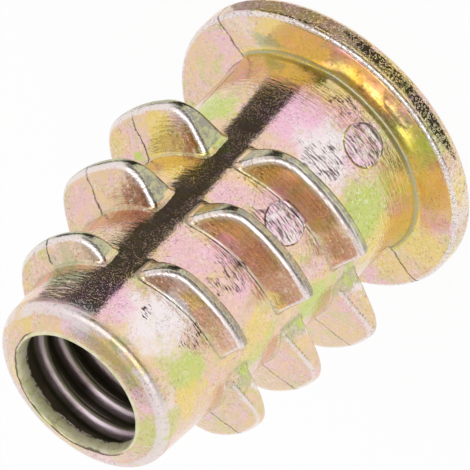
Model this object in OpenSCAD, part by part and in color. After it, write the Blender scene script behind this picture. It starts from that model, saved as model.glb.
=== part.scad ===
// Flanged threaded insert for wood, die cast in zinc in one piece.
// It stands on its flange: z = 0 is the outer face of the flange, +Z runs to the nose.
// The two die halves part on the plane y = 0.

/* [Overall] */
// Length from the outer face of the flange to the mouth of the bore
insert_length = 20.35; // [19.35:0.5:28.35]

/* [Flange] */
// Diameter of the flange
flange_d = 16.0; // [15.4:0.2:20]
// Thickness of the flange
flange_t = 1.3; // [1:0.1:2]
// Radius on both edges of the rim
rim_r = 0.3; // [0.1:0.05:0.45]
// Diameter of the flare where the neck meets the flange, on the near die half only
flare_d = 11.9; // [11.6:0.1:12.6]
// Height of that flare above the flange
flare_h = 1.3; // [0.6:0.1:2]

/* [Shank] */
// Diameter of the neck where it leaves the flange
neck_d = 11.2; // [11:0.1:11.5]
// Diameter of the shank where its taper starts
shank_d = 10.9; // [10.8:0.1:11.2]
// Height at which the taper starts
taper_z = 8.0; // [7:0.5:10]
// Diameter of the nose
nose_d = 9.5; // [9.4:0.1:10.6]
// Radius on the edge of the nose
nose_r = 0.3; // [0.1:0.05:0.5]
// How far the face of the nose rises from its edge to the mouth of the bore
face_rise = 0.35; // [0.05:0.05:0.6]

/* [External thread] */
// Distance that one turn climbs
lead = 3.95; // [3.6:0.05:4.3]
// Number of full turns
turns = 3; // [1:1:3]
// Height of the nose-side foot of the first rib, at its middle
first_rib_z = 17.1; // [16.5:0.05:17.5]
// Crest diameter of the ribs at the die's parting, at the nose end of their taper
first_side_crest_d = 13.6; // [13:0.1:14]
// Crest diameter of the same ribs at the flange end of their taper
last_side_crest_d = 16.1; // [14.4:0.1:16.2]
// Crest diameter of the ribs on the two die faces, at the nose end of their taper
first_face_crest_d = 13.9; // [13:0.1:14.4]
// Crest diameter of the same ribs at the flange end of their taper
last_face_crest_d = 14.7; // [13.6:0.1:16.2]
// How far the first two ribs stay below their tapers
lead_in_drop = 0.65; // [0:0.05:0.8]
// Width of the crest
crest_w = 0.6; // [0.4:0.05:1]
// Bevel on both edges of the crest
crest_bevel = 0.18; // [0.05:0.01:0.25]
// Slope of the flank that faces the nose, from square to the axis
nose_flank_a = 17; // [5:1:20]
// Slope of the flank that faces the flange
back_flank_a = 8; // [5:1:25]
// Distance from a rib's middle to its ramped end, at the die's parting
side_ramp_end = 3.5; // [3.2:0.1:3.8]
// Distance from the first rib's middle to its ramped end, on the die faces
first_face_ramp_end = 2.9; // [2.7:0.1:3.8]
// Distance from the last rib's middle to its ramped end, on the die faces
last_face_ramp_end = 3.6; // [3.2:0.1:3.8]
// Slope of that ramp at the die's parting, which eases the rib into the wood
side_ramp_a = 18; // [5:1:30]
// Slope of the ramp on the two die faces
face_ramp_a = 12; // [5:1:30]
// Length of crest that the ramp bends into at the die's parting
side_ramp_bend = 0.8; // [0.2:0.1:1]
// Length of crest that the ramp bends into on the two die faces
face_ramp_bend = 1.0; // [0.2:0.1:1.4]
// Distance from a rib's middle to its blunt end, for the first rib at the die's parting
first_side_blunt = 2.9; // [2.6:0.1:3.2]
// Distance from a rib's middle to its blunt end, for the last rib at the die's parting
last_side_blunt = 3.5; // [3.2:0.1:3.8]
// Distance from a rib's middle to its blunt end, for the first rib on a die face
first_face_blunt = 2.6; // [2.4:0.1:3]
// Distance from a rib's middle to its blunt end, for the last rib on a die face
last_face_blunt = 3.8; // [3.4:0.1:4]
// Length of crest that the blunt end bends into at the die's parting
side_blunt_bend = 0.9; // [0.2:0.1:1.2]
// Length of crest that the blunt end bends into on the two die faces
face_blunt_bend = 0.15; // [0.05:0.05:0.6]

/* [Internal thread] */
// Minor diameter of the internal thread, M8 coarse
thread_minor_d = 6.65; // [6.4:0.05:7]

/* [Hex socket] */
// Width across the flats of the socket in the flange
hex_af = 8.0; // [7:0.5:8]
// Depth of the socket
hex_depth = 5.5; // [4.6:0.1:6]
// Width of the bevel at the socket's mouth
hex_bevel = 0.25; // [0.1:0.05:0.5]

/* [Ejector pin marks] */
// Diameter of each mark
mark_d = 1.9; // [1.2:0.1:2.4]
// Depth of each mark below the shank
mark_depth = 0.1; // [0.05:0.05:0.3]
// Height of the mark on the neck
neck_mark_z = 2.9; // [2.6:0.1:5]
// Height of the mark between the last two rows
row_mark_z = 9.0; // [8.9:0.1:11]

/* [Hidden] */
$fn = 96;

nose_edge_z = insert_length - face_rise;
quarters = 4;                       // ribs in one turn, one for each side
ribs = turns * quarters;
rib_root_r = (thread_minor_d + nose_d) / 4; // ribs root in the middle of the thinnest wall
rib_sweep = 110;                    // each ring is longer than its rib and is cut to it
helix_a = atan(lead / (PI * shank_d));
bend_steps = 5;                     // flats along each bend of a rib's outline
cut = 1;                            // how far a cutter runs past the face it opens

// Radius of the bare shank at height z.
function shank_r(z) =
    z < taper_z
        ? (neck_d + (shank_d - neck_d) * (z - flange_t) / (taper_z - flange_t)) / 2
        : (shank_d + (nose_d - shank_d) * (z - taper_z) / (nose_edge_z - taper_z)) / 2;

// Height of a rib's nose-side foot, and its crest radius, for rib i from the nose.
function rib_z(i) = first_rib_z - i * lead / quarters;
function along(i, first, last) = first + (last - first) * i / (ribs - 1);
function on_die_face(i) = i % 2 == 1;
function rib_crest_r(i) =
    (on_die_face(i)
        ? along(i, first_face_crest_d, last_face_crest_d)
        : along(i, first_side_crest_d, last_side_crest_d)) / 2
    - (i < 2 ? lead_in_drop : 0);
function ramp_end(i) = on_die_face(i)
    ? along(i, first_face_ramp_end, last_face_ramp_end)
    : side_ramp_end;
function blunt_end(i) = on_die_face(i)
    ? along(i, first_face_blunt, last_face_blunt)
    : along(i, first_side_blunt, last_side_blunt);

// Point at fraction t of a curve from a to c that leaves and arrives along the lines through b.
function bend(a, b, c, t) = (1 - t) * (1 - t) * a + 2 * t * (1 - t) * b + t * t * c;

// Disc with both edges rounded, as it is cast.
module flange() {
    rotate_extrude() {
        square([flange_d / 2 - rim_r, flange_t]);
        translate([0, rim_r])
            square([flange_d / 2, flange_t - 2 * rim_r]);
        for (z = [rim_r, flange_t - rim_r])
            translate([flange_d / 2 - rim_r, z])
                circle(r = rim_r, $fn = 32);
    }
}

// Flare under the flange that only one die half makes.
module flange_flare() {
    intersection() {
        rotate_extrude()
            polygon([
                [0, flange_t / 2],
                [flare_d / 2, flange_t / 2],
                [flare_d / 2, flange_t],
                [shank_r(flange_t + flare_h), flange_t + flare_h],
                [0, flange_t + flare_h]
            ]);
        translate([-flare_d, -flare_d, 0])
            cube([2 * flare_d, flare_d, flange_t + flare_h + cut]);
    }
}

// Neck and tapered shank with a rounded nose, whose face rises to the bore.
module shank() {
    nose_z = nose_edge_z - nose_r;
    rotate_extrude() {
        polygon([
            [0, flange_t / 2],
            [neck_d / 2, flange_t / 2],
            [neck_d / 2, flange_t],
            [shank_d / 2, taper_z],
            [shank_r(nose_z), nose_z],
            [shank_r(nose_z) - nose_r, nose_edge_z],
            [thread_minor_d / 2, insert_length],
            [0, insert_length]
        ]);
        translate([shank_r(nose_z) - nose_r, nose_z])
            circle(r = nose_r, $fn = 32);
    }
}

// Profile of a rib, with its root in the shank's wall and its foot on the shank at height 0.
module rib_profile(foot_r, crest_r) {
    nose_slope = tan(nose_flank_a);
    back_slope = tan(back_flank_a);
    nose_z = -(crest_r - foot_r) * nose_slope;
    back_z = nose_z - crest_w;
    polygon([
        [rib_root_r, nose_z + (crest_r - rib_root_r) * nose_slope],
        [crest_r - crest_bevel, nose_z + crest_bevel * nose_slope],
        [crest_r, nose_z - crest_bevel],
        [crest_r, back_z + crest_bevel],
        [crest_r - crest_bevel, back_z - crest_bevel * back_slope],
        [rib_root_r, back_z - (crest_r - rib_root_r) * back_slope]
    ]);
}

// Point of the crest at distance y from the rib's middle.
function on_crest(crest_r, y) = [sqrt(crest_r ^ 2 - y ^ 2), y];

// Outline of a rib along the axis, for a rib on +X: a ramp that bends into the crest
// at one end, and a blunt end that does so along the die's draw at the other.
module rib_outline(foot_r, crest_r, blunt, blunt_bend, ramp, ramp_a, ramp_bend) {
    ramp_y = ramp - (crest_r - foot_r) * tan(ramp_a);
    crest_end = on_crest(crest_r, ramp_y - ramp_bend);
    crest_start = on_crest(crest_r, blunt_bend - blunt);
    blunt_foot = [on_crest(crest_r, blunt).x - blunt_bend, -blunt];
    polygon(concat(
        [[0, -blunt]],
        [for (k = [0 : bend_steps])
            bend(blunt_foot, on_crest(crest_r, -blunt), crest_start, k / bend_steps)],
        [[crest_r + cut, crest_start.y], [crest_r + cut, crest_end.y]],
        [for (k = [0 : bend_steps])
            bend(crest_end, on_crest(crest_r, ramp_y), on_crest(foot_r, ramp), k / bend_steps)],
        [[0, ramp]]
    ));
}

// One rib of the external thread: a quarter-turn ring laid at the helix angle
// and cut to its outline.
module rib(i) {
    foot_r = shank_r(rib_z(i));
    crest_r = rib_crest_r(i);
    rotate([0, 0, -i * 360 / quarters])
        intersection() {
            translate([0, 0, rib_z(i)])
                rotate([helix_a, 0, 0])
                    rotate([0, 0, -rib_sweep / 2])
                        rotate_extrude(angle = rib_sweep)
                            rib_profile(foot_r, crest_r);
            linear_extrude(insert_length)
                rib_outline(
                    foot_r, crest_r,
                    blunt_end(i), on_die_face(i) ? face_blunt_bend : side_blunt_bend,
                    ramp_end(i), on_die_face(i) ? face_ramp_a : side_ramp_a,
                    on_die_face(i) ? face_ramp_bend : side_ramp_bend
                );
        }
}

// Hexagon socket that the driver turns the insert by.
module hex_socket() {
    translate([0, 0, -cut])
        cylinder(d = hex_af / cos(30), h = hex_depth + cut, $fn = 6);
    translate([0, 0, -cut])
        cylinder(r1 = hex_af / sqrt(3) + cut, r2 = hex_af / sqrt(3) - hex_bevel, h = cut + hex_bevel);
}

// Plain bore at the minor diameter of the internal thread.
module bore() {
    translate([0, 0, hex_depth / 2])
        cylinder(d = thread_minor_d, h = insert_length - hex_depth / 2 + cut);
}

// Flat round mark left by an ejector pin on the near side.
module ejector_mark(z) {
    translate([0, mark_depth - shank_r(z), z])
        rotate([90, 0, 0])
            cylinder(d = mark_d, h = cut);
}

module threaded_insert() {
    color([0.86, 0.78, 0.62])
        difference() {
            union() {
                flange();
                flange_flare();
                shank();
                for (i = [0 : ribs - 1])
                    rib(i);
            }
            bore();
            hex_socket();
            ejector_mark(neck_mark_z);
            ejector_mark(row_mark_z);
        }
}

threaded_insert();
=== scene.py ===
import math
import bpy
import numpy as np
from bpy.props import FloatProperty, FloatVectorProperty, IntProperty, PointerProperty
from mathutils import Matrix, Vector


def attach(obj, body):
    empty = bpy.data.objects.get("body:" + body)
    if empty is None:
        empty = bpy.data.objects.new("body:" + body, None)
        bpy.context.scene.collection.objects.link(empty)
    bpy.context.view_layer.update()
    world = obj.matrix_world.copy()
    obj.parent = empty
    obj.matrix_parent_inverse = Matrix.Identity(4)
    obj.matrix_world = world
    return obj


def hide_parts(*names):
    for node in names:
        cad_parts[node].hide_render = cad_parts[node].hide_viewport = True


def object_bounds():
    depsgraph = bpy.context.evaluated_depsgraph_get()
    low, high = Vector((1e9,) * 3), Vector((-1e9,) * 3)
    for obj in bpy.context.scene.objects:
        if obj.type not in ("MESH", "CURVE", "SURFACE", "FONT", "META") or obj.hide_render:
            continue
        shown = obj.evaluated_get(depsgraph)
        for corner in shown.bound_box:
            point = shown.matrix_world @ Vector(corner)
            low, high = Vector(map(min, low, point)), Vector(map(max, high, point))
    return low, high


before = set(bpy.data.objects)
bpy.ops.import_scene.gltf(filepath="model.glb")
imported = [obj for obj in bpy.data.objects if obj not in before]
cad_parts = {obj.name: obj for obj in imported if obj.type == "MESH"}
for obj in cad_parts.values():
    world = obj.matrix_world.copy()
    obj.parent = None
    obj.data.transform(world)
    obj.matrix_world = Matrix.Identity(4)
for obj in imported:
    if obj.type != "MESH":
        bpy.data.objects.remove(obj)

bl_info = {
    "name": "Threaded insert",
    "version": (1, 0, 0),
    "blender": (4, 5, 0),
    "location": "View3D > Sidebar > Insert",
    "description": "Flanged threaded insert, die cast in zinc and yellow passivated",
    "category": "Object",
}

NODE = "threaded_insert"
SLOT = "passivated_zinc"
MM = 0.001
CAD_LOW, CAD_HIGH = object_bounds()


def length(name, text, mm):
    """A size in metres with its default given in millimetres."""
    return FloatProperty(name=name, description=text, default=mm * MM, unit="LENGTH", precision=5)


def angle(name, text, degrees):
    """An angle with its default given in degrees."""
    return FloatProperty(name=name, description=text, default=math.radians(degrees), subtype="ANGLE")


def colour(name, text, rgb):
    return FloatVectorProperty(name=name, description=text, default=rgb, subtype="COLOR",
                               size=3, min=0.0, max=1.0)


def level(name, text, value):
    return FloatProperty(name=name, description=text, default=value, min=0.0)


class InsertCastingProps(bpy.types.PropertyGroup):
    """Sizes of the casting: flange, shank and the ribs of its outer thread."""
    flange_d: length("Flange", "Diameter of the flange", 16.0)
    flange_t: length("Flange thickness", "Thickness of the flange", 1.3)
    rim_r: length("Rim radius", "Radius on both edges of the rim", 0.3)
    flare_d: length("Flare", "Diameter of the flare on the near die half", 11.9)
    flare_h: length("Flare height", "Height of the flare above the flange", 1.3)
    neck_d: length("Neck", "Diameter where the neck leaves the flange", 11.2)
    shank_d: length("Shank", "Diameter where the taper starts", 10.9)
    taper_z: length("Taper height", "Height at which the taper starts", 8.0)
    nose_d: length("Nose", "Diameter at the edge of the nose", 9.5)
    nose_r: length("Nose radius", "Radius on the edge of the nose", 0.5)
    face_rise: length("Face rise", "Rise of the nose's face to the bore", 0.35)
    lead: length("Lead", "Distance that one turn of the outer thread climbs", 3.95)
    first_rib_z: length("First rib", "Height of the foot of the first rib", 17.1)
    crest_w: length("Crest width", "Width of a rib's crest", 0.6)
    crest_round: length("Crest rounding", "Rounding on the edges of a rib", 0.38)
    foot_fillet: length("Foot fillet", "Fillet between a rib and the shank", 0.16)
    nose_flank: angle("Nose flank", "Slope of the flank that faces the nose", 17)
    back_flank: angle("Back flank", "Slope of the flank that faces the flange", 8)
    hex_af: length("Hex socket", "Width across the flats of the socket", 8.0)
    hex_depth: length("Hex depth", "Depth of the socket", 5.5)
    columns: IntProperty(name="Columns", description="Facets around the casting",
                         default=420, min=120, max=480)


class InsertThreadProps(bpy.types.PropertyGroup):
    """Sizes of the inner thread."""
    minor_d: length("Minor diameter", "Minor diameter of the inner thread", 6.65)
    major_d: length("Major diameter", "Major diameter of the inner thread", 7.9)
    pitch: length("Pitch", "Pitch of the inner thread", 1.25)
    crest_w: length("Crest width", "Width of the inner thread's crest", 0.16)
    root_w: length("Root width", "Width of the ridge at its root", 1.18)
    sink: length("Sink", "Depth by which the ridge's root is sunk into the wall", 0.05)
    entry: length("Plain entry", "Plain depth before the thread starts", 0.75)
    first_turn: length("First turn", "Height of the first turn above the floor of the socket", 0.625)
    last_turn: length("Last turn", "Depth of the last turn's middle below the plain entry", 0.565)


class InsertFinishProps(bpy.types.PropertyGroup):
    """Colours of the yellow passivated zinc."""
    base: colour("Zinc", "Colour of most of the finish", (0.84, 0.60, 0.43))
    rose: colour("Rose", "Colour of the rosy patches", (0.92, 0.54, 0.71))
    green: colour("Green", "Colour of the green patches", (0.58, 0.68, 0.17))
    gold: colour("Gold", "Colour where the film is thickest", (0.90, 0.68, 0.18))
    rust: colour("Rust", "Colour of the brown patches", (0.72, 0.43, 0.31))
    umber: colour("Umber", "Colour of the darkest brown patches", (0.55, 0.27, 0.16))
    olive: colour("Olive", "Colour of the olive patches", (0.52, 0.52, 0.30))
    # this colour darkens the crest lands of the ribs as a painted dark reflection
    bare: colour("Bare", "Colour where the film is worn off", (0.32, 0.32, 0.26))
    # also a painted highlight, in the pale patches and along the sharp edges
    pale: colour("Pale", "Colour where the film is thinnest", (0.93, 0.84, 0.84))
    crack: colour("Crack", "Colour in the parting line", (0.05, 0.04, 0.03))
    scuff: colour("Scuff", "Colour of the scuffs and the dark specks", (0.11, 0.06, 0.06))
    light: colour("Light specks", "Colour of the fine light specks", (0.97, 0.94, 0.90))
    line: colour("Foot line", "Colour of the line round the foot of the neck", (0.42, 0.48, 0.40))
    # a dark gold painted shade in the corner between neck and flange, toning down its highlight
    corner: colour("Corner", "Colour in the corner between neck and flange", (0.62, 0.44, 0.07))
    # painted light in the bore: the dark bore colour is painted shade in the recess, the paler flank colour
    # is painted light on the lit flanks, and the dark and rosy flank colours are a painted shade and a
    # painted highlight
    bore: colour("Bore", "Colour in the bore", (0.21, 0.20, 0.13))
    bore_flank: colour("Bore flank", "Colour on the flanks of the inner thread", (0.78, 0.60, 0.69))
    bore_shade: colour("Dark bore flank", "Colour of the flanks' brown stain", (0.16, 0.10, 0.09))
    bore_highlight: colour("Rosy bore flank", "Colour of the flanks' rosy stain", (1.0, 0.84, 0.92))
    mouth: colour("Mouth", "Colour of the film in the mouth of the bore", (0.82, 0.84, 0.44))
    mouth_thin: colour("Thin mouth", "Colour of the thin film in the mouth", (0.94, 0.92, 0.72))
    glint: colour("Glint", "Colour of the bright flecks in the mouth", (1.0, 0.98, 0.95))


class InsertStageProps(bpy.types.PropertyGroup):
    """Camera and light."""
    azimuth: angle("Azimuth", "Direction that the camera looks from", 14.03)
    elevation: angle("Elevation", "Height of the camera above the horizon", 33.85)
    roll: angle("Roll", "Turn of the camera about its view", 224.73)
    aim_z: length("Aim height", "Height that the camera aims at", 7.929)
    aim_x: length("Aim offset", "Offset of the aim to the side", -0.0416)
    distance: length("Distance", "Distance from the camera to its aim", 449.74)
    lens: level("Lens", "Focal length in millimetres", 736.67)
    world_level: level("World", "Brightness of the room", 0.88)
    box_azimuth: angle("Softbox azimuth", "Direction of the softbox", 14)
    box_elevation: angle("Softbox elevation", "Height of the softbox above the horizon", 52)
    box_distance: length("Softbox distance", "Distance from the softbox to the part", 350)
    box_size: length("Softbox size", "Diameter of the softbox", 100)
    box_power: level("Softbox power", "Power of the softbox in watts", 0.03)


# -------- shape of the casting, in mm and degrees

RIBS = 12
RIBS_A_TURN = 4
# first and last rib's size, for the ribs at the parting and for those on the die faces
SIDE_CREST, FACE_CREST = (6.8, 8.05), (6.95, 7.35)
SIDE_BLUNT, FACE_BLUNT = (2.9, 3.5), (2.6, 3.8)
SIDE_RAMP_END, FACE_RAMP_END = (3.5, 3.5), (2.9, 3.6)
# slope of the ramp, rounding of the ramp and rounding of the blunt end
SIDE_ENDS, FACE_ENDS = (18, 0.8, 1.1), (12, 1.1, 0.2)
LEAD_IN_RIBS = 2          # the first ribs are lower, to start the cut
LEAD_IN_DROP = 0.65
BACK_ROUNDING = 0.7       # rounding at the back of a crest, as a share of crest_round
RIB_REACH = 80            # no rib reaches further round than this to each side of its middle
WELL_CLEAR = 5.0          # stands for a place far from the rib
SEARCH_R = 8.2            # outside all crests
HALVINGS = 16
SEAM = 45.0               # angle of the mesh's seam, on bare shank at the back
COLUMN_STEP = 12          # the casting's columns come in this many

# how close to a rib's faces and edges the masks for the finish reach
SKIN, EDGE_BAND, FOOT_BAND, LAND_BAND, ON_RIB = 0.15, 0.30, 0.13, 0.12, 0.25

# the flare's curve: height above the flange and share of the flare's width
FLARE = ((1.1, 0.015), (0.85, 0.1), (0.6, 0.21), (0.42, 0.32), (0.3, 0.40),
         (0.2, 0.47), (0.12, 0.535), (0.05, 0.59), (0.02, 1.0))
NECK_FILLET_W, NECK_FILLET_H = 0.08, 0.3
UPRIGHT_AT = -36          # the flare stands almost upright over a short arc round this angle
MOUTH_WEAR = 0.2          # how far the mouth of the bore opens out on the far half


def along(i, ends):
    return ends[0] + (ends[1] - ends[0]) * i / (RIBS - 1)


def rib_size(i):
    """Crest radius, blunt end, ramp end and form of the ends of rib i."""
    face = i % 2 == 1
    crest = along(i, FACE_CREST if face else SIDE_CREST) - (LEAD_IN_DROP if i < LEAD_IN_RIBS else 0)
    blunt = along(i, FACE_BLUNT if face else SIDE_BLUNT)
    ramp_end = along(i, FACE_RAMP_END if face else SIDE_RAMP_END)
    return crest, blunt, ramp_end, (FACE_ENDS if face else SIDE_ENDS)


def smooth_max(a, b, k):
    h = np.maximum(k - np.abs(a - b), 0.0) / k
    return np.maximum(a, b) + h * h * k * 0.25


def smooth_min(a, b, k):
    return -smooth_max(-a, -b, k)


def fade(distance, width):
    """1 at no distance, 0 from the width on."""
    return np.clip(1.0 - distance / width, 0, 1)


class Casting:
    """Radius of the casting's outside for any angle and height."""

    def __init__(self, p):
        mm = lambda v: v / MM
        self.top = mm(CAD_HIGH[2])
        self.edge_z = self.top - mm(p.face_rise)
        self.nose_r = mm(p.nose_r)
        self.neck_r, self.shank_r, self.nose_end_r = mm(p.neck_d) / 2, mm(p.shank_d) / 2, mm(p.nose_d) / 2
        self.taper_z, self.flange_t = mm(p.taper_z), mm(p.flange_t)
        self.flare_top = self.flange_t + mm(p.flare_h)
        self.lead, self.first_z = mm(p.lead), mm(p.first_rib_z)
        self.crest_w, self.round, self.fillet = mm(p.crest_w), mm(p.crest_round), mm(p.foot_fillet)
        self.nose_a, self.back_a = p.nose_flank, p.back_flank

    def shank(self, z):
        """Radius of the bare shank at height z."""
        neck, taper_z = self.flange_t, self.taper_z
        low = self.neck_r + (self.shank_r - self.neck_r) * (z - neck) / (taper_z - neck)
        high = self.shank_r + (self.nose_end_r - self.shank_r) * (z - taper_z) / (self.edge_z - taper_z)
        return np.where(z < taper_z, low, high)

    def foot_z(self, i):
        """Height of rib i's foot at the middle of the rib."""
        return self.first_z - i * self.lead / RIBS_A_TURN

    def rib(self, i, r, theta, z):
        """Distance outside rib i, less than 0 inside it, and outside its nose flank, top and back."""
        crest, blunt, ramp_end, (slope, ramp_bend, blunt_bend) = rib_size(i)
        foot = float(self.shank(np.array(self.foot_z(i))))
        local = (theta + 90.0 * i + 180.0) % 360.0 - 180.0
        zl = z - (self.foot_z(i) + self.lead * local / 360.0)
        a = np.radians(local)
        x, y = r * np.cos(a), r * np.sin(a)
        nose = (r - foot) * math.sin(self.nose_a) + zl * math.cos(self.nose_a)
        back_top = -(crest - foot) * math.tan(self.nose_a) - self.crest_w
        back = (r - crest) * math.sin(self.back_a) - (zl - back_top) * math.cos(self.back_a)
        t = math.tan(math.radians(slope))
        foot_x = math.sqrt(foot ** 2 - ramp_end ** 2)
        ramp = (y - ramp_end + (x - foot_x) * t) / math.hypot(1, t)
        top = smooth_max(r - crest, -blunt - y, blunt_bend)
        top = smooth_max(top, ramp, ramp_bend)
        d = smooth_max(nose, top, self.round)
        d = smooth_max(d, back, self.round * BACK_ROUNDING)
        return np.where(np.abs(local) < RIB_REACH, d, WELL_CLEAR), nose, top, back

    def outside(self, theta, z):
        """Radius of the outside at angle theta and height z, found by halving."""
        low, high = self.shank(z) - 0.05, np.full_like(z, SEARCH_R)

        def field(r):
            d = r - self.shank(z)
            for i in range(RIBS):
                d = smooth_min(d, self.rib(i, r, theta, z)[0], self.fillet)
            return d

        for _ in range(HALVINGS):
            mid = (low + high) / 2
            inside = field(mid) < 0
            low, high = np.where(inside, mid, low), np.where(inside, high, mid)
        return (low + high) / 2

    def surface(self, theta, z, r):
        """Masks from 0 to 1 for the crest's edge, the crest's land and the foot of the ribs."""
        edge, land, foot = np.zeros_like(z), np.zeros_like(z), np.zeros_like(z)
        rise = r - self.shank(z)
        for i in range(RIBS):
            d, nose, top, back = self.rib(i, r, theta, z)
            close = fade(np.abs(d), SKIN)
            edge = np.maximum(edge, close * fade(np.abs(nose - top), EDGE_BAND))
            land = np.maximum(land, close * np.clip(-nose / LAND_BAND - 0.8, 0, 1) * fade(back, 0.1))
            foot = np.maximum(foot, fade(np.maximum(rise - 0.02, np.abs(d)), FOOT_BAND))
        on_rib = rise > ON_RIB
        return {"crest_edge": edge * on_rib, "crest_land": land * on_rib, "rib_foot": foot}

    def crest_at(self, turn):
        """Height of crest above the shank, a given number of quarter turns from the first rib."""
        i = np.clip(turn, 0, RIBS - 1)
        k = np.floor(i).astype(int)
        sizes = np.array([rib_size(n)[0] for n in range(RIBS)] + [rib_size(RIBS - 1)[0]])
        c = sizes[k] + (sizes[k + 1] - sizes[k]) * (i - k)
        return c - self.shank(self.foot_z(i))


def steps(a, b, n):
    """n rows from a towards b, without b."""
    return [a + (b - a) * k / n for k in range(n)]


def casting_rows(c, theta):
    """Heights of the rows of the outside, one list for each column, from the nose down."""
    last = np.full_like(theta, c.edge_z - c.nose_r)
    bottom = np.full_like(theta, c.flare_top)
    rows = []
    tn, tb = math.tan(c.nose_a), math.tan(c.back_a)
    for turn in range(RIBS // RIBS_A_TURN):
        quarter = RIBS_A_TURN * turn - theta / 90.0
        h = c.crest_at(quarter)
        foot = c.foot_z(quarter)
        crest_top = foot - h * tn
        crest_low = crest_top - c.crest_w
        back_foot = crest_low - h * tb
        # heights that the rows keep to, and the number of rows above each
        marks = [(foot + 0.28, 9 if turn == 0 else 7), (foot - 0.06, 5),
                 (crest_top + 0.14, 4), (crest_top - 0.2, 6), (crest_low + 0.2, 2), (crest_low - 0.1, 6),
                 (back_foot + 0.05, 3), (back_foot - 0.25, 5)]
        for z, count in marks:
            rows += steps(last, z, count)
            last = z
    rows += steps(last, bottom, 10)
    rows.append(bottom)
    return np.array(rows)


def make_mesh(name, verts_mm, faces):
    mesh = bpy.data.meshes.new(name)
    mesh.from_pydata((np.asarray(verts_mm) * MM).tolist(), [], faces)
    mesh.validate()
    mesh.shade_smooth()
    obj = bpy.data.objects.new(name, mesh)
    bpy.context.scene.collection.objects.link(obj)
    return obj


def zip_columns(za, zb, ia, ib):
    """Triangles between two columns whose rows run down at different heights."""
    faces, i, j = [], 0, 0
    while i < len(za) - 1 or j < len(zb) - 1:
        if j == len(zb) - 1 or (i < len(za) - 1 and za[i + 1] >= zb[j + 1]):
            faces.append((ia[i], ia[i + 1], ib[j]))
            i += 1
        else:
            faces.append((ia[i], ib[j + 1], ib[j]))
            j += 1
    return faces


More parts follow.
